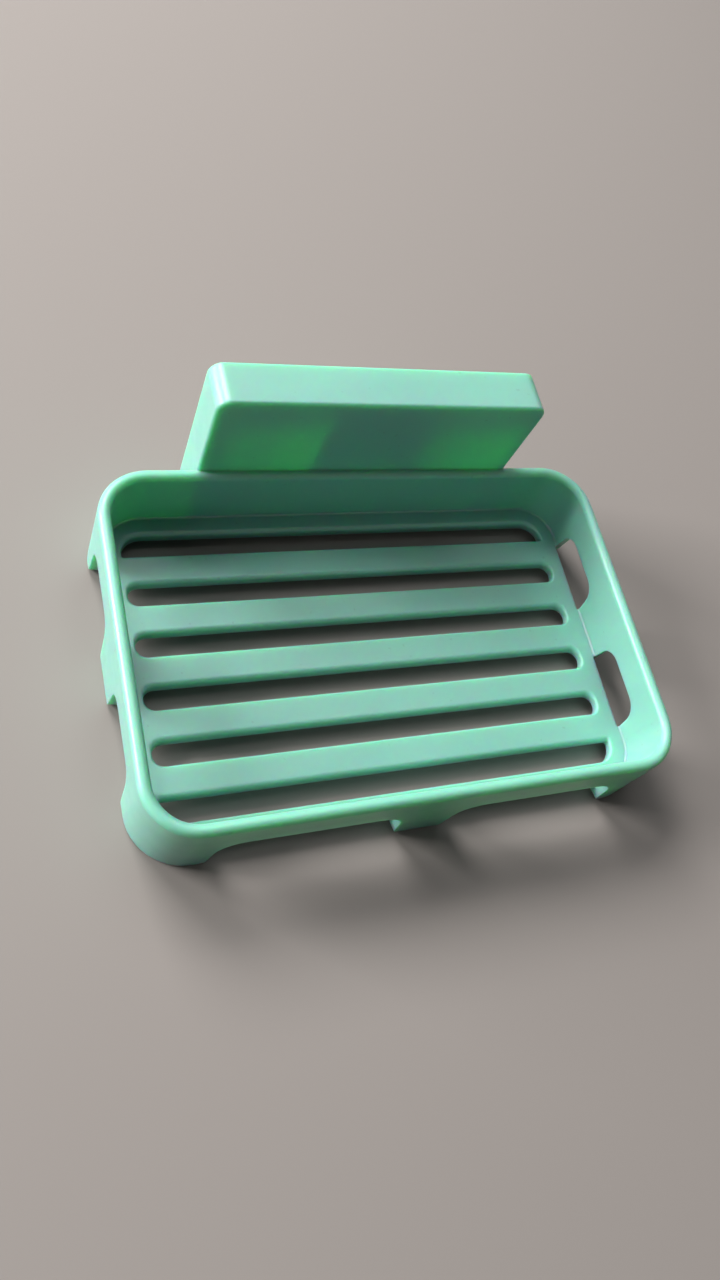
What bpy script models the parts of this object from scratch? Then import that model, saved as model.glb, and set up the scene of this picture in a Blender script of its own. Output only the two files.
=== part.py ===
# Wall soap dish. A slatted tray stands on its own feet and carries a hollow housing at the rear.
# The housing drops over a clear hook plate, which a film and a gel layer hold to the tiles.
# X runs along the dish, +Y points to the wall, Z is up and the feet stand on Z = 0.
import math

import bmesh
import bpy

mm = 0.001

# Gaps and overruns shared by all pieces
seat_gap = 0.3 * mm        # left between two pieces that touch
overrun = 1.0 * mm         # how far a cutter runs past the face it opens
weld = 0.4 * mm            # how far one form reaches into the form it is moulded to
same_angle = math.radians(30.0)   # faces that meet at less than this are shaded as one surface

# Tray wall, measured at the widest level of its rounded rim
tray_half_length = 61.5 * mm
tray_half_depth = 40.64 * mm
tray_corner_radius = 11.7 * mm
tray_height = 21.3 * mm
tray_wall = 2.8 * mm
lean_share = 0.028         # the wall leans outward by this share of its drop
foot_edge_radius = 0.9 * mm
crease_radius = 0.5 * mm   # hollow rounding where the floor meets the wall

# Slatted floor
floor_top = 4.8 * mm
floor_thickness = 2.25 * mm
slot_count = 6
slot_width = 5.33 * mm
slot_end_margin = 4.12 * mm          # floor left between a slot's end and the side wall
slot_side_margin = 4.79 * mm         # floor left between the outer slots and the long walls
slot_end_share = 0.484               # corner radius of a slot, as a share of its width
outer_slot_wide_share = 0.875        # the corners of the first and last slot that follow the tray's
outer_slot_tight_share = 0.112
slat_front_radius = 1.3 * mm         # soft top edge along the front of each slat
slat_rear_radius = 0.35 * mm
slot_end_edge_radius = 0.5 * mm

# Drain windows, open at the bottom, that leave the feet between them
window_rise = 7.75 * mm              # from the floor's top to the top of a window
window_lean_share = 0.12             # each end leans in by this share of its height
window_flare_share = 0.2             # each end opens outward by this share of the way out
front_window_radius = 6.0 * mm
side_window_radius = 4.3 * mm
foot_corner_radius = 2.2 * mm        # where a window's end turns into the bottom of a foot
corner_foot_length = 13.7 * mm       # from the tray's end to the first window
middle_foot_length = 11.2 * mm
front_foot_shift = 0.6 * mm          # the middle feet stand a little off centre
side_foot_shift = 0.6 * mm

# Rear housing
housing_width = 77.8 * mm
housing_sink = 0.8 * mm              # how far the housing's face stands in the rear wall
housing_depth = 10.4 * mm
housing_height = 44.9 * mm
housing_corner_radius = 3.2 * mm
housing_front_edge_radius = 0.8 * mm
housing_rear_edge_radius = 0.4 * mm
housing_wall = 1.8 * mm
recess_corner_radius = 1.6 * mm

# Pocket inside the housing, made of two rails and the bridge between them
pocket_width = 21.8 * mm
rail_thickness = 1.6 * mm
rail_lift = 5.45 * mm                # from the floor's underside to the foot of a rail
bridge_height = 18.4 * mm
bridge_thickness = 2.1 * mm
tongue_room = 1.2 * mm               # free depth in front of the tongue

# Hook plate
tongue_thickness = 1.6 * mm
tongue_headroom = 3.1 * mm           # free height above the tongue
tongue_taper = 1.3 * mm              # each side of the tip stands in by this much
tongue_thinning = 0.3 * mm           # each face of the tip stands in by this much
tongue_lead_in = 3.0 * mm
shelf_height = 3.0 * mm
base_flange = 6.4 * mm               # how far the base stands out beside the tongue
base_top_margin = 2.8 * mm           # the film reaches this far above the base
base_bottom_margin = 4.7 * mm
base_thickness = 1.5 * mm
base_corner_radius = 3.0 * mm
hook_edge_radius = 0.25 * mm

# Carrier film and gel layer
film_side_gap = 4.1 * mm             # free width beside the film inside the housing
film_top_gap = 1.3 * mm
film_bottom_gap = 1.25 * mm          # the film starts this far above the floor's underside
film_thickness = 0.5 * mm
film_corner_radius = 4.0 * mm
gel_thickness = 0.8 * mm
gel_inset = 1.0 * mm                 # the gel stops short of the film's edge

# Steps in a quarter turn
wall_corner_steps = 12
slot_corner_steps = 6
edge_steps = 5
lip_steps = 10

# Heights and depths worked out from the sizes above
lip_radius = tray_wall / 2
lip_level = tray_height - lip_radius
floor_underside = floor_top - floor_thickness
floor_lean = lean_share * (lip_level - floor_top)
floor_half_length = tray_half_length + floor_lean - tray_wall
floor_half_depth = tray_half_depth + floor_lean - tray_wall
slot_length = 2 * (floor_half_length - slot_end_margin)
slot_pitch = (2 * (floor_half_depth - slot_side_margin) - slot_width) / (slot_count - 1)
window_top = floor_top + window_rise
housing_front = tray_half_depth - housing_sink
housing_back = housing_front + housing_depth
recess_front = housing_front + housing_wall
tongue_front = recess_front + tongue_room
tongue_back = tongue_front + tongue_thickness
bridge_front = tongue_back + seat_gap
bridge_back = bridge_front + bridge_thickness
base_front = bridge_back + seat_gap
base_back = base_front + base_thickness
film_front = base_back + seat_gap
film_back = film_front + film_thickness
gel_front = film_back + seat_gap
ceiling = housing_height - housing_wall
rail_bottom = floor_underside + rail_lift
bridge_bottom = ceiling - bridge_height
shelf_top = bridge_bottom - seat_gap
shelf_bottom = shelf_top - shelf_height
tongue_width = pocket_width - 2 * seat_gap
tongue_tip_height = ceiling - tongue_headroom
base_width = tongue_width + 2 * base_flange
film_width = housing_width - 2 * housing_wall - 2 * film_side_gap
film_top = ceiling - film_top_gap
film_bottom = floor_underside + film_bottom_gap
base_top = film_top - base_top_margin
base_bottom = film_bottom + base_bottom_margin


def clear_scene():
    # Start from an empty file.
    for thing in list(bpy.data.objects):
        bpy.data.objects.remove(thing, do_unlink=True)


def quarter(steps):
    # Angles of a quarter turn, both ends included.
    return [math.pi / 2 * step / steps for step in range(steps + 1)]


def rounded_outline(low, high, radii, steps):
    # Points of a rectangle with four rounded corners, anticlockwise from the low corner.
    corners = (
        (low[0], low[1], 1, 1, math.pi),
        (high[0], low[1], -1, 1, math.pi * 3 / 2),
        (high[0], high[1], -1, -1, 0.0),
        (low[0], high[1], 1, -1, math.pi / 2),
    )
    points = []
    for (x, y, to_x, to_y, start), radius in zip(corners, radii):
        centre_x = x + to_x * radius
        centre_y = y + to_y * radius
        for turn in quarter(steps):
            across = radius * math.cos(start + turn)
            along = radius * math.sin(start + turn)
            points.append((centre_x + across, centre_y + along))
    return points


def loft(mesh, rings):
    # Join rings of equal point count into one closed body with a flat face at each end.
    made = [[mesh.verts.new(point) for point in ring] for ring in rings]
    for near, far in zip(made, made[1:]):
        for index, corner in enumerate(near):
            after = (index + 1) % len(near)
            mesh.faces.new((corner, near[after], far[after], far[index]))
    mesh.faces.new(list(reversed(made[0])))
    mesh.faces.new(made[-1])


def box(mesh, low, high):
    # One plain block between two opposite corners.
    outline = ((low[0], low[1]), (high[0], low[1]), (high[0], high[1]), (low[0], high[1]))
    loft(mesh, [[(x, y, z) for x, y in outline] for z in (low[2], high[2])])


def new_object(name, mesh):
    # Turn finished geometry into an object whose faces all point outward.
    bmesh.ops.remove_doubles(mesh, verts=mesh.verts, dist=weld / 1000)
    bmesh.ops.recalc_face_normals(mesh, faces=mesh.faces)
    data = bpy.data.meshes.new(name)
    mesh.to_mesh(data)
    mesh.free()
    body = bpy.data.objects.new(name, data)
    bpy.context.scene.collection.objects.link(body)
    return body


def join_forms(body, operation, form):
    # Add one form to a body, or cut it away.
    step = body.modifiers.new(form.name, "BOOLEAN")
    step.operation = operation
    step.solver = "EXACT"
    step.object = form
    form.hide_render = True
    form.display_type = "WIRE"


def bake(body, forms):
    # Keep the finished surface, drop the forms that shaped it and set the shading.
    view = bpy.context.evaluated_depsgraph_get()
    finished = bpy.data.meshes.new_from_object(body.evaluated_get(view))
    body.modifiers.clear()
    body.data = finished
    for form in forms:
        bpy.data.objects.remove(form, do_unlink=True)
    finished.shade_smooth()
    finished.set_sharp_from_angle(angle=same_angle)


def material(name, colour, roughness, opacity):
    # A plain surface of one colour; the fourth value is how solid it looks.
    surface = bpy.data.materials.new(name)
    surface.use_nodes = True
    shader = surface.node_tree.nodes["Principled BSDF"]
    shader.inputs["Base Color"].default_value = (*colour, 1.0)
    shader.inputs["Roughness"].default_value = roughness
    shader.inputs["Metallic"].default_value = 0.0
    shader.inputs["Alpha"].default_value = opacity
    surface.diffuse_color = (*colour, opacity)
    return surface


def mint_plastic():
    return material("mint_plastic", (0.27, 0.72, 0.53), 0.33, 1.0)


def clear_plastic():
    return material("clear_plastic", (0.86, 0.90, 0.90), 0.12, 0.45)


def clear_film():
    return material("clear_film", (0.90, 0.92, 0.93), 0.18, 0.35)


def gel():
    return material("gel", (0.88, 0.88, 0.84), 0.40, 0.55)


def wall_lean(level):
    # How far the wall stands outside the rim's outline at a given height.
    return lean_share * (lip_level - level)


def wall_profile():
    # Offset from the rim's outline and height, from the floor's top round the rim to its underside.
    inner = floor_lean - tray_wall
    points = []
    for turn in quarter(edge_steps):
        out = inner - crease_radius + crease_radius * math.sin(turn)
        points.append((out, floor_top + crease_radius - crease_radius * math.cos(turn)))
    for step in range(lip_steps + 1):
        turn = math.pi * step / lip_steps
        out = -lip_radius - lip_radius * math.cos(turn)
        points.append((out, lip_level + lip_radius * math.sin(turn)))
    outer = wall_lean(0.0)
    for turn in quarter(edge_steps):
        out = outer - foot_edge_radius + foot_edge_radius * math.cos(turn)
        points.append((out, foot_edge_radius - foot_edge_radius * math.sin(turn)))
    inner = outer - tray_wall
    for turn in quarter(edge_steps):
        out = inner + foot_edge_radius - foot_edge_radius * math.sin(turn)
        points.append((out, foot_edge_radius - foot_edge_radius * math.cos(turn)))
    points.append((wall_lean(floor_underside) - tray_wall, floor_underside))
    return points


def tray_shell():
    # The wall, rim, skirt and solid floor, before anything is cut.
    mesh = bmesh.new()
    rings = []
    for out, level in wall_profile():
        half_x = tray_half_length + out
        half_y = tray_half_depth + out
        radii = [tray_corner_radius + out] * 4
        outline = rounded_outline((-half_x, -half_y), (half_x, half_y), radii, wall_corner_steps)
        rings.append([(x, y, level) for x, y in outline])
    loft(mesh, rings)
    return new_object("tray_shell", mesh)


def edge_growth(radius, level):
    # How far a slot has opened at this height to leave a rounded top edge of this radius.
    climb = level - (floor_top - radius)
    if climb <= 0.0:
        return 0.0
    climb = min(climb, radius)
    return radius - math.sqrt(radius * radius - climb * climb)


def slot_levels():
    # Heights at which the slot's outline is drawn, close together where its edge curves.
    levels = {floor_underside - overrun, floor_top + overrun}
    for radius in (slat_front_radius, slot_end_edge_radius, slat_rear_radius):
        for turn in quarter(edge_steps):
            levels.add(floor_top - radius + radius * math.sin(turn))
    return sorted(levels)


def slot_radii(index):
    # Corner radii of one slot, in the order of rounded_outline.
    wide = slot_width * outer_slot_wide_share
    tight = slot_width * outer_slot_tight_share
    if index == 0:
        return [wide] * 2 + [tight] * 2
    if index == slot_count - 1:
        return [tight] * 2 + [wide] * 2
    return [slot_width * slot_end_share] * 4


def slot_form():
    # All the long drain slots between the slats.
    mesh = bmesh.new()
    for index in range(slot_count):
        middle = slot_pitch * (index - (slot_count - 1) / 2)
        rings = []
        for level in slot_levels():
            ends = slot_length / 2 + edge_growth(slot_end_edge_radius, level)
            front = middle - slot_width / 2 - edge_growth(slat_rear_radius, level)
            rear = middle + slot_width / 2 + edge_growth(slat_front_radius, level)
            outline = rounded_outline((-ends, front), (ends, rear), slot_radii(index), slot_corner_steps)
            rings.append([(x, y, level) for x, y in outline])
        loft(mesh, rings)
    return new_object("slot_form", mesh)


def half_window(end, side, radius):
    # One end of a window seen square on, from the foot's rounded bottom up to the flat top.
    stand_off = math.hypot(radius, radius * window_lean_share)
    tilt = math.atan(window_lean_share)
    foot_turn = end + side * (foot_corner_radius * (1 - window_lean_share))
    points = [(foot_turn, -overrun)]
    for turn in quarter(edge_steps):
        level = foot_corner_radius - foot_corner_radius * math.cos(turn)
        points.append((foot_turn - side * foot_corner_radius * math.sin(turn), level))
    centre_level = window_top - radius
    centre = end - side * (window_lean_share * centre_level + stand_off)
    for step in range(edge_steps + 1):
        turn = tilt + (math.pi / 2 - tilt) * step / edge_steps
        points.append((centre + side * radius * math.cos(turn), centre_level + radius * math.sin(turn)))
    return points


def window_outline(start, end, radius, growth):
    # A whole drain window, open at the bottom, with each end moved out by the growth.
    right = half_window(end + growth, 1, radius)
    left = half_window(start - growth, -1, radius)
    return right + list(reversed(left))


def window_ends(half_wall, shift):
    # Where the two windows of one wall start and end at the level of the feet.
    near = middle_foot_length / 2
    far = half_wall - corner_foot_length
    return ((shift - far, shift - near), (shift + near, shift + far))


def window_form():
    # The windows through the front wall and through both side walls, wider on the outside.
    mesh = bmesh.new()
    cut_in = tray_wall + crease_radius / 2
    steps = ((overrun, window_flare_share * overrun), (-cut_in, -window_flare_share * cut_in))
    front = tray_half_depth + wall_lean(window_top)
    for start, end in window_ends(tray_half_length, front_foot_shift):
        rings = []
        for out, growth in steps:
            outline = window_outline(start, end, front_window_radius, growth)
            rings.append([(x, -front - out, z) for x, z in outline])
        loft(mesh, rings)
    side_face = tray_half_length + wall_lean(window_top)
    for start, end in window_ends(tray_half_depth, side_foot_shift):
        for side in (-1, 1):
            rings = []
            for out, growth in steps:
                outline = window_outline(start, end, side_window_radius, growth)
                rings.append([(side * (side_face + out), y, z) for y, z in outline])
            loft(mesh, rings)
    return new_object("window_form", mesh)


def housing_form():
    # The outside of the rear housing, with soft front and rear edges.
    mesh = bmesh.new()
    places = []
    for turn in quarter(edge_steps):
        inset = housing_front_edge_radius * (1 - math.sin(turn))
        places.append((housing_front + housing_front_edge_radius * (1 - math.cos(turn)), inset))
    for turn in quarter(edge_steps):
        inset = housing_rear_edge_radius * (1 - math.cos(turn))
        places.append((housing_back - housing_rear_edge_radius * (1 - math.sin(turn)), inset))
    rings = []
    for y, inset in places:
        half = housing_width / 2 - inset
        top = housing_corner_radius - inset
        radii = [housing_wall / 2, housing_wall / 2, top, top]
        low = (-half, floor_underside)
        high = (half, housing_height - inset)
        outline = rounded_outline(low, high, radii, edge_steps)
        rings.append([(x, y, z) for x, z in outline])
    loft(mesh, rings)
    return new_object("housing_form", mesh)


def recess_form():
    # The hollow of the housing, open to the wall and at the bottom.
    mesh = bmesh.new()
    half = housing_width / 2 - housing_wall
    radii = [recess_corner_radius] * 4
    low = (-half, floor_underside - overrun - recess_corner_radius)
    high = (half, ceiling)
    outline = rounded_outline(low, high, radii, edge_steps)
    loft(mesh, [[(x, y, z) for x, z in outline] for y in (recess_front, housing_back + overrun)])
    return new_object("recess_form", mesh)


def rail_form():
    # The two upright rails that guide the hook plate's tongue.
    mesh = bmesh.new()
    for side in (-1, 1):
        inner = side * pocket_width / 2
        outer = side * (pocket_width / 2 + rail_thickness)
        low = (min(inner, outer), recess_front - weld, rail_bottom)
        high = (max(inner, outer), bridge_back, ceiling + weld)
        box(mesh, low, high)
    return new_object("rail_form", mesh)


def bridge_form():
    # The bridge between the rails that hangs on the hook plate's shelf.
    mesh = bmesh.new()
    half = pocket_width / 2 + weld
    low = (-half, bridge_front, bridge_bottom)
    high = (half, bridge_back, ceiling + weld)
    box(mesh, low, high)
    return new_object("bridge_form", mesh)


def soap_tray():
    # The whole green moulding.
    tray = tray_shell()
    tray.name = "soap_tray"
    forms = [slot_form(), window_form(), housing_form(), recess_form(), rail_form(), bridge_form()]
    operations = ["DIFFERENCE", "DIFFERENCE", "UNION", "DIFFERENCE", "UNION", "UNION"]
    for operation, form in zip(operations, forms):
        join_forms(tray, operation, form)
    bake(tray, forms)
    tray.data.materials.clear()
    tray.data.materials.append(mint_plastic())
    return tray


def sheet(name, half_width, bottom, top, front, thickness, radius):
    # A flat piece with rounded corners that stands upright, facing the wall.
    mesh = bmesh.new()
    radii = [radius] * 4
    outline = rounded_outline((-half_width, bottom), (half_width, top), radii, edge_steps)
    loft(mesh, [[(x, y, z) for x, z in outline] for y in (front, front + thickness)])
    return new_object(name, mesh)


def tongue_form():
    # Shelf and tongue: the shelf carries the bridge, the tongue stands up inside the pocket.
    mesh = bmesh.new()
    middle = (tongue_front + tongue_back) / 2
    half_tip = tongue_thickness / 2 - tongue_thinning
    lead_level = tongue_tip_height - tongue_lead_in
    profile = (
        (base_front + weld, shelf_bottom, 0.0),
        (base_front + weld, shelf_top, 0.0),
        (tongue_back, shelf_top, 0.0),
        (tongue_back, lead_level, 0.0),
        (middle + half_tip, tongue_tip_height, tongue_taper),
        (middle - half_tip, tongue_tip_height, tongue_taper),
        (tongue_front, lead_level, 0.0),
        (tongue_front, shelf_bottom, 0.0),
    )
    rings = []
    for side in (-1, 1):
        half = side * tongue_width / 2
        rings.append([(half - side * inset, y, z) for y, z, inset in profile])
    loft(mesh, rings)
    return new_object("tongue_form", mesh)


def hook_plate():
    # The clear plate whose tongue the tray hangs on.
    plate = sheet("hook_plate", base_width / 2, base_bottom, base_top, base_front,
                  base_thickness, base_corner_radius)
    tongue = tongue_form()
    join_forms(plate, "UNION", tongue)
    soft = plate.modifiers.new("soft_edges", "BEVEL")
    soft.width = hook_edge_radius
    soft.segments = 2
    soft.limit_method = "ANGLE"
    soft.angle_limit = same_angle
    bake(plate, [tongue])
    plate.data.materials.clear()
    plate.data.materials.append(clear_plastic())
    return plate


def carrier_film():
    # The thin clear film that the hook plate is welded to.
    film = sheet("carrier_film", film_width / 2, film_bottom, film_top, film_front,
                 film_thickness, film_corner_radius)
    film.data.materials.append(clear_film())
    return film


def adhesive_layer():
    # The soft gel layer that grips the tiles.
    layer = sheet("adhesive_layer", film_width / 2 - gel_inset, film_bottom + gel_inset,
                  film_top - gel_inset, gel_front, gel_thickness, film_corner_radius - gel_inset)
    layer.data.materials.append(gel())
    return layer


def centre_depth():
    # How far the pieces move forward so that the origin lies under the middle of the whole.
    front_reach = tray_half_depth + wall_lean(0.0)
    back_reach = gel_front + gel_thickness
    return (back_reach - front_reach) / 2


clear_scene()
for piece in (soap_tray(), hook_plate(), carrier_film(), adhesive_layer()):
    piece.location.y = -centre_depth()
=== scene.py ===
import math

import bpy
from mathutils import Matrix, Vector

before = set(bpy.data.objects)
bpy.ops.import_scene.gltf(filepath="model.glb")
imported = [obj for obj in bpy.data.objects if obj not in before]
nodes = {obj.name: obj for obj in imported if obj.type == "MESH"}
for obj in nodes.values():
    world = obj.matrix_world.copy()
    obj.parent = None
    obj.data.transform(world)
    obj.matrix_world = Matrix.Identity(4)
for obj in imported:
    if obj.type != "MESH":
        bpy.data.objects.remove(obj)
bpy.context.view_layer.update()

# Lengths are in metres, angles in radians, colours in linear red, green and blue.
# A noise's scale is in cells per metre. A range of two values is where a ramp starts and ends.
MM = 0.001

# Both plastics
PLASTIC_IOR = 1.49
SOFT_EDGE_SAMPLES = 6

# Mint plastic of the tray
MINT_DEEP = (0.205, 0.465, 0.392)
MINT_PALE = (0.220, 0.485, 0.412)
# Pale edge colour: partly wear, partly a painted highlight on rims and edges.
MINT_WORN_AND_HIGHLIGHT = (0.35, 0.53, 0.47)
# Painted shade colour for inner corners and creases.
MINT_PAINTED_CORNER_SHADE = (0.14, 0.34, 0.27)
SPECK_COLOUR = (0.16, 0.22, 0.19)
CLOUD_SCALE = 30.0
CLOUD_DETAIL = 2.0
EDGE_RADIUS = 0.5 * MM
# Where and how strongly outer edges turn pale: partly wear, partly painted highlight.
EDGE_FACING = (0.78, 0.95)
EDGE_WEAR_AND_HIGHLIGHT = 0.40
CORNER_REACH = 1.2 * MM
CORNER_SAMPLES = 6
OUTER_OPENNESS = (0.65, 0.95)
# Where and how strongly inner corners get painted shade.
CORNER_OPENNESS = (0.50, 0.85)
CORNER_SHADE = 0.45
SPECK_SCALE = 900.0
SPECK_DETAIL = 0.0
SPECK_SHARE = (0.82, 0.86)
SPECK_SHADE = 0.25
WIPE_SCALE = 60.0
WIPE_DETAIL = 2.0
WIPE_STRETCH = (0.35, 4.0, 4.0)
WIPE_ROUGHNESS = (0.28, 0.35)
GRAIN_SCALE = 500.0
GRAIN_DETAIL = 1.0
GRAIN_STRENGTH = 0.05
GRAIN_HEIGHT = 0.02 * MM
GLOW_REACH = 5.2 * MM
GLOW_COLOUR = (0.08, 1.0, 0.30)

# Clear plastics of the wall fixing
HOOK_TINT = (0.86, 0.90, 0.90)
HOOK_OPACITY = 0.09
HOOK_ROUGHNESS = 0.12
FILM_TINT = (0.90, 0.92, 0.93)
FILM_OPACITY = 0.05
FILM_ROUGHNESS = 0.16
GEL_TINT = (0.88, 0.88, 0.84)
GEL_OPACITY = 0.06
GEL_ROUGHNESS = 0.35
HAZE_SCALE = 200.0
HAZE_DETAIL = 3.0
HAZE_ROUGHNESS_SPREAD = 0.2
HAZE_TINT_SHARE = 0.95
RIPPLE_SCALE = 90.0
RIPPLE_DETAIL = 2.0
RIPPLE_STRENGTH = 0.15
RIPPLE_HEIGHT = 0.2 * MM
CLEAR_EDGE_RADIUS = 0.6 * MM
CLEAR_EDGE_FACING = (0.80, 0.99)
CLEAR_EDGE_DENSITY = 5.0

# Smooth shading
WELD_GAP = 0.002 * MM
FLAT_ANGLE = math.radians(0.4)
SHARP_ANGLE = math.radians(32.0)
LARGE_FACE_WEIGHT = 90

# Floor
FLOOR_WIDTH = 2.6
FLOOR_COLOUR = (0.27, 0.244, 0.228)
FLOOR_ROUGHNESS = 0.8
FLOOR_GLOSS = 0.2

# Camera, found from the dish's straight lines in the photograph
CAMERA_PLACE = (-0.08969, -0.08476, 0.19712)
CAMERA_RIGHT = (0.92187, -0.22372, 0.31640)
CAMERA_DOWN = (-0.07299, -0.90215, -0.42521)
CAMERA_AHEAD = (0.38056, 0.36890, -0.84800)
CAMERA_LENS_MM = 27.27
CAMERA_SENSOR_MM = 36.0
CAMERA_NEAR = 0.01

# Light
DISH_MIDDLE = (0.0, 0.0, 0.02)
DISH_FOOT = (0.0, 0.0, 0.0)
WINDOW_LIGHT = (1.0, 0.99, 0.98)
SKY_LIGHT = (0.94, 0.98, 1.0)
WORLD_LIGHT = (1.0, 0.99, 0.97)
WORLD_STRENGTH = 0.025
WORLD_SEEN_STRENGTH = 0.50


def node_tree(name):
    # A new material, its node tree and its Principled shader.
    surface = bpy.data.materials.new(name)
    surface.use_nodes = True
    tree = surface.node_tree
    shader = tree.nodes["Principled BSDF"]
    return surface, tree, shader


def add_noise(tree, scale, detail, stretch=None):
    # Noise fixed to the object. Its cells are shorter along an axis with a larger stretch.
    place = tree.nodes.new("ShaderNodeTexCoord")
    noise = tree.nodes.new("ShaderNodeTexNoise")
    noise.inputs["Scale"].default_value = scale
    noise.inputs["Detail"].default_value = detail
    if stretch is None:
        tree.links.new(place.outputs["Object"], noise.inputs["Vector"])
    else:
        mapping = tree.nodes.new("ShaderNodeMapping")
        mapping.inputs["Scale"].default_value = stretch
        tree.links.new(place.outputs["Object"], mapping.inputs["Vector"])
        tree.links.new(mapping.outputs["Vector"], noise.inputs["Vector"])
    return noise.outputs["Fac"]


def add_ramp(tree, value, low, high, between=(0.35, 0.65)):
    # Runs from low to high while the value runs between two others.
    ramp = tree.nodes.new("ShaderNodeMapRange")
    ramp.inputs["From Min"].default_value = between[0]
    ramp.inputs["From Max"].default_value = between[1]
    ramp.inputs["To Min"].default_value = low
    ramp.inputs["To Max"].default_value = high
    tree.links.new(value, ramp.inputs["Value"])
    return ramp.outputs["Result"]


def add_mix(tree, factor, first, second):
    # Blends a colour into the first, which is a colour or what another mix gives.
    mix = tree.nodes.new("ShaderNodeMix")
    mix.data_type = "RGBA"
    if isinstance(first, tuple):
        mix.inputs["A"].default_value = (*first, 1.0)
    else:
        tree.links.new(first, mix.inputs["A"])
    mix.inputs["B"].default_value = (*second, 1.0)
    tree.links.new(factor, mix.inputs["Factor"])
    return mix.outputs["Result"]


def add_math(tree, operation, first, second):
    # A product, a maximum or the like of two values.
    result = tree.nodes.new("ShaderNodeMath")
    result.operation = operation
    tree.links.new(first, result.inputs[0])
    tree.links.new(second, result.inputs[1])
    return result.outputs["Value"]


def add_soft_edge(tree, radius):
    # The normal of a rounded edge, and how well it agrees with the face: 1 away from edges.
    soft = tree.nodes.new("ShaderNodeBevel")
    soft.samples = SOFT_EDGE_SAMPLES
    soft.inputs["Radius"].default_value = radius
    face = tree.nodes.new("ShaderNodeNewGeometry")
    facing = tree.nodes.new("ShaderNodeVectorMath")
    facing.operation = "DOT_PRODUCT"
    tree.links.new(soft.outputs["Normal"], facing.inputs[0])
    tree.links.new(face.outputs["True Normal"], facing.inputs[1])
    return soft.outputs["Normal"], facing.outputs["Value"]


def add_openness(tree, reach):
    # 1 on open faces and outer edges, less in inner corners.
    near = tree.nodes.new("ShaderNodeAmbientOcclusion")
    near.samples = CORNER_SAMPLES
    near.only_local = True
    near.inputs["Distance"].default_value = reach
    return near.outputs["AO"]


def add_bump(tree, height, strength, distance, normal=None):
    # Relief on the surface, or on a normal that is already rounded.
    bump = tree.nodes.new("ShaderNodeBump")
    bump.inputs["Strength"].default_value = strength
    bump.inputs["Distance"].default_value = distance
    tree.links.new(height, bump.inputs["Height"])
    if normal is not None:
        tree.links.new(normal, bump.inputs["Normal"])
    return bump.outputs["Normal"]


def mint_colour(tree, facing):
    # Faint clouds, paler outer edges that are partly wear and partly a painted highlight, darker
    # inner corners that are painted shade, and a few specks of dust.
    clouds = add_ramp(tree, add_noise(tree, CLOUD_SCALE, CLOUD_DETAIL), 0.0, 1.0)
    colour = add_mix(tree, clouds, MINT_DEEP, MINT_PALE)
    openness = add_openness(tree, CORNER_REACH)
    outer = add_ramp(tree, openness, 0.0, 1.0, OUTER_OPENNESS)
    # Paler outer edges: partly wear, partly a painted highlight.
    edge = add_ramp(tree, facing, EDGE_WEAR_AND_HIGHLIGHT, 0.0, EDGE_FACING)
    colour = add_mix(tree, add_math(tree, "MULTIPLY", edge, outer), colour, MINT_WORN_AND_HIGHLIGHT)
    # Painted shade: darker in inner corners and creases.
    painted_corner_shade = add_ramp(tree, openness, CORNER_SHADE, 0.0, CORNER_OPENNESS)
    colour = add_mix(tree, painted_corner_shade, colour, MINT_PAINTED_CORNER_SHADE)
    dust = add_noise(tree, SPECK_SCALE, SPECK_DETAIL)
    return add_mix(tree, add_ramp(tree, dust, 0.0, SPECK_SHADE, SPECK_SHARE), colour, SPECK_COLOUR)


def mint_plastic():
    # Satin polypropylene that lets some light through.
    surface, tree, shader = node_tree("mint_plastic_look")
    rounded, facing = add_soft_edge(tree, EDGE_RADIUS)
    tree.links.new(mint_colour(tree, facing), shader.inputs["Base Color"])
    wiping = add_noise(tree, WIPE_SCALE, WIPE_DETAIL, WIPE_STRETCH)
    tree.links.new(add_ramp(tree, wiping, *WIPE_ROUGHNESS), shader.inputs["Roughness"])
    grain = add_noise(tree, GRAIN_SCALE, GRAIN_DETAIL)
    relief = add_bump(tree, grain, GRAIN_STRENGTH, GRAIN_HEIGHT, rounded)
    tree.links.new(relief, shader.inputs["Normal"])
    shader.inputs["IOR"].default_value = PLASTIC_IOR
    shader.inputs["Subsurface Weight"].default_value = 1.0
    shader.inputs["Subsurface Radius"].default_value = GLOW_COLOUR
    shader.inputs["Subsurface Scale"].default_value = GLOW_REACH
    return surface


def clear_plastic(name, tint, opacity, roughness):
    # Clear plastic: light passes, the surface shows a gloss, and edges look denser.
    surface, tree, shader = node_tree(name)
    haze = add_noise(tree, HAZE_SCALE, HAZE_DETAIL)
    smoothest = roughness * (1.0 - HAZE_ROUGHNESS_SPREAD)
    roughest = roughness * (1.0 + HAZE_ROUGHNESS_SPREAD)
    tree.links.new(add_ramp(tree, haze, smoothest, roughest), shader.inputs["Roughness"])
    dull_tint = tuple(HAZE_TINT_SHARE * part for part in tint)
    colour = add_mix(tree, add_ramp(tree, haze, 0.0, 1.0), tint, dull_tint)
    tree.links.new(colour, shader.inputs["Base Color"])
    ripple = add_noise(tree, RIPPLE_SCALE, RIPPLE_DETAIL)
    relief = add_bump(tree, ripple, RIPPLE_STRENGTH, RIPPLE_HEIGHT)
    tree.links.new(relief, shader.inputs["Normal"])
    shader.inputs["IOR"].default_value = PLASTIC_IOR
    facing = add_soft_edge(tree, CLEAR_EDGE_RADIUS)[1]
    density = add_ramp(tree, facing, CLEAR_EDGE_DENSITY * opacity, opacity, CLEAR_EDGE_FACING)
    tree.links.new(density, shader.inputs["Alpha"])
    return surface


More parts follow.
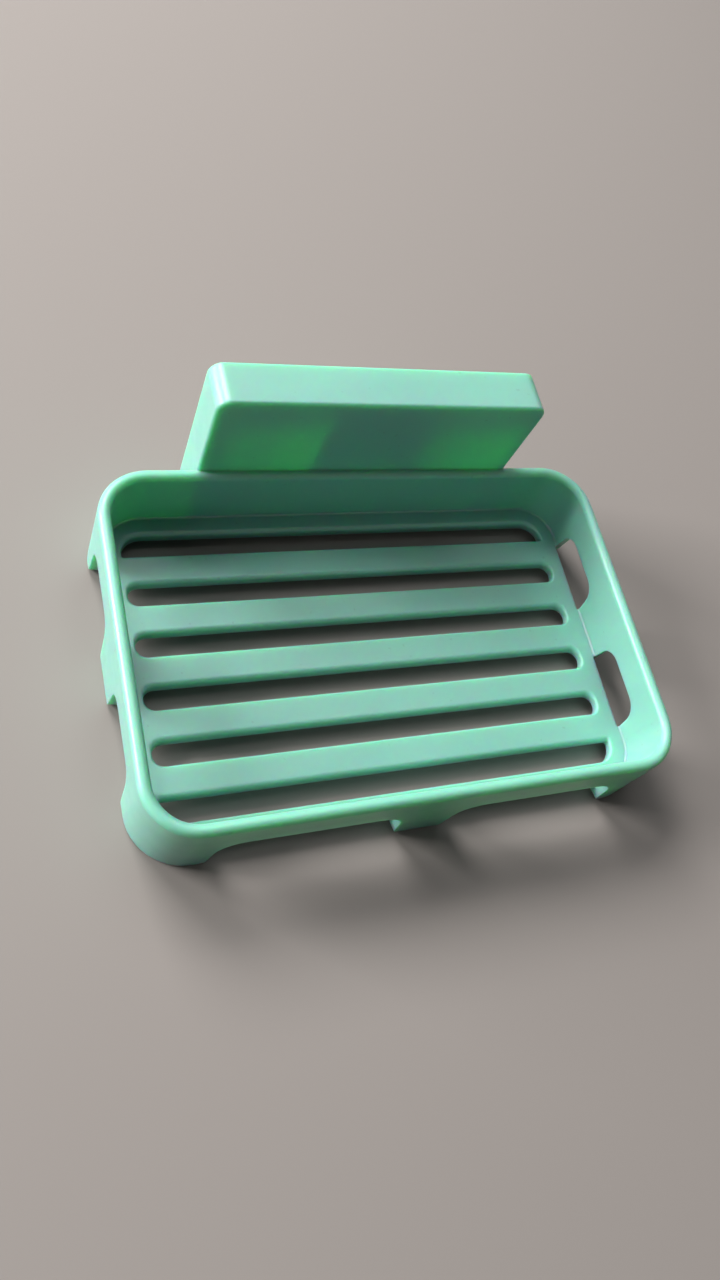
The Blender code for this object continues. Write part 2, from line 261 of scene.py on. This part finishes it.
def smooth_group():
    # Drops the stored normals and shades round all edges except the sharp ones.
    group = bpy.data.node_groups.new("smooth_faces", "GeometryNodeTree")
    group.interface.new_socket("Geometry", in_out="INPUT", socket_type="NodeSocketGeometry")
    group.interface.new_socket("Geometry", in_out="OUTPUT", socket_type="NodeSocketGeometry")
    start = group.nodes.new("NodeGroupInput")
    end = group.nodes.new("NodeGroupOutput")
    clear = group.nodes.new("GeometryNodeRemoveAttribute")
    clear.inputs["Name"].default_value = "custom_normal"
    faces = group.nodes.new("GeometryNodeSetShadeSmooth")
    faces.domain = "FACE"
    edges = group.nodes.new("GeometryNodeSetShadeSmooth")
    edges.domain = "EDGE"
    edges.inputs["Shade Smooth"].default_value = False
    angle = group.nodes.new("GeometryNodeInputMeshEdgeAngle")
    sharp = group.nodes.new("FunctionNodeCompare")
    sharp.data_type = "FLOAT"
    sharp.operation = "GREATER_THAN"
    sharp.inputs["B"].default_value = SHARP_ANGLE
    group.links.new(start.outputs["Geometry"], clear.inputs["Geometry"])
    group.links.new(clear.outputs["Geometry"], faces.inputs["Geometry"])
    group.links.new(faces.outputs["Geometry"], edges.inputs["Geometry"])
    group.links.new(angle.outputs["Unsigned Angle"], sharp.inputs["A"])
    group.links.new(sharp.outputs["Result"], edges.inputs["Selection"])
    group.links.new(edges.outputs["Geometry"], end.inputs["Geometry"])
    return group


def smooth(node, group):
    # Round faces shade round and flat faces stay flat. The shape stays as it is.
    weld = node.modifiers.new("weld", "WELD")
    weld.merge_threshold = WELD_GAP
    merge = node.modifiers.new("merge_flats", "DECIMATE")
    merge.decimate_type = "DISSOLVE"
    merge.angle_limit = FLAT_ANGLE
    turn = node.modifiers.new("smooth_faces", "NODES")
    turn.node_group = group
    weigh = node.modifiers.new("weigh_normals", "WEIGHTED_NORMAL")
    weigh.mode = "FACE_AREA"
    weigh.weight = LARGE_FACE_WEIGHT
    weigh.keep_sharp = True


def paint(name, surface, group):
    # Gives a piece its material and its smooth shading.
    node = nodes[name]
    node.data.materials.clear()
    node.data.materials.append(surface)
    smooth(node, group)


def paint_pieces():
    group = smooth_group()
    paint("soap_tray", mint_plastic(), group)
    hook_look = clear_plastic("clear_plastic_look", HOOK_TINT, HOOK_OPACITY, HOOK_ROUGHNESS)
    paint("hook_plate", hook_look, group)
    film_look = clear_plastic("clear_film_look", FILM_TINT, FILM_OPACITY, FILM_ROUGHNESS)
    paint("carrier_film", film_look, group)
    gel_look = clear_plastic("gel_look", GEL_TINT, GEL_OPACITY, GEL_ROUGHNESS)
    paint("adhesive_layer", gel_look, group)


def add_floor():
    # Plain pale floor.
    bpy.ops.mesh.primitive_plane_add(size=FLOOR_WIDTH, location=DISH_FOOT)
    floor = bpy.context.object
    floor.name = "floor"
    surface, tree, shader = node_tree("pale_floor")
    shader.inputs["Base Color"].default_value = (*FLOOR_COLOUR, 1.0)
    shader.inputs["Roughness"].default_value = FLOOR_ROUGHNESS
    shader.inputs["Specular IOR Level"].default_value = FLOOR_GLOSS
    floor.data.materials.append(surface)


def add_camera():
    # The photograph's own viewpoint.
    turn = Matrix((Vector(CAMERA_RIGHT), -Vector(CAMERA_DOWN), -Vector(CAMERA_AHEAD))).transposed()
    data = bpy.data.cameras.new("camera")
    data.sensor_width = CAMERA_SENSOR_MM
    data.lens = CAMERA_LENS_MM
    data.clip_start = CAMERA_NEAR
    camera = bpy.data.objects.new("camera", data)
    camera.matrix_world = Matrix.Translation(CAMERA_PLACE) @ turn.to_4x4()
    bpy.context.scene.collection.objects.link(camera)
    bpy.context.scene.camera = camera


def add_panel(name, place, target, size, watts, colour):
    # A soft square lamp that looks at the dish.
    data = bpy.data.lights.new(name, "AREA")
    data.shape = "RECTANGLE"
    data.size, data.size_y = size
    data.energy = watts
    data.color = colour
    lamp = bpy.data.objects.new(name, data)
    away = Vector(place) - Vector(target)
    turn = away.to_track_quat("Z", "Y").to_matrix().to_4x4()
    lamp.matrix_world = Matrix.Translation(place) @ turn
    bpy.context.scene.collection.objects.link(lamp)


def add_lamps():
    # Two windows at the left and rear, weak light from the room and from above.
    add_panel(
        "window", place=(-1.06, 0.50, 0.44), target=DISH_MIDDLE,
        size=(0.5, 0.6), watts=26.5, colour=WINDOW_LIGHT,
    )
    add_panel(
        "rear_window", place=(-0.42, 0.98, 0.90), target=DISH_MIDDLE,
        size=(0.55, 0.6), watts=20.0, colour=WINDOW_LIGHT,
    )
    add_panel(
        "room", place=(-1.10, -0.26, 0.55), target=DISH_FOOT,
        size=(0.8, 0.8), watts=1.8, colour=WINDOW_LIGHT,
    )
    add_panel(
        "sky", place=(0.10, 0.50, 1.10), target=DISH_FOOT,
        size=(0.8, 0.8), watts=4.0, colour=SKY_LIGHT,
    )


def add_world():
    # Weak light all round, and a pale background where it is seen, mirrored or looked through.
    world = bpy.data.worlds.new("world")
    world.use_nodes = True
    tree = world.node_tree
    backdrop = tree.nodes["Background"]
    backdrop.inputs["Color"].default_value = (*WORLD_LIGHT, 1.0)
    ray = tree.nodes.new("ShaderNodeLightPath")
    mirrored = ray.outputs["Is Glossy Ray"]
    through = ray.outputs["Is Transmission Ray"]
    straight = ray.outputs["Is Camera Ray"]
    indirect = add_math(tree, "MAXIMUM", mirrored, through)
    seen = add_math(tree, "MAXIMUM", straight, indirect)
    strength = add_ramp(tree, seen, WORLD_STRENGTH, WORLD_SEEN_STRENGTH, (0.0, 1.0))
    tree.links.new(strength, backdrop.inputs["Strength"])
    bpy.context.scene.world = world


paint_pieces()
add_floor()
add_camera()
add_lamps()
add_world()
bpy.context.scene.view_settings.view_transform = "Standard"
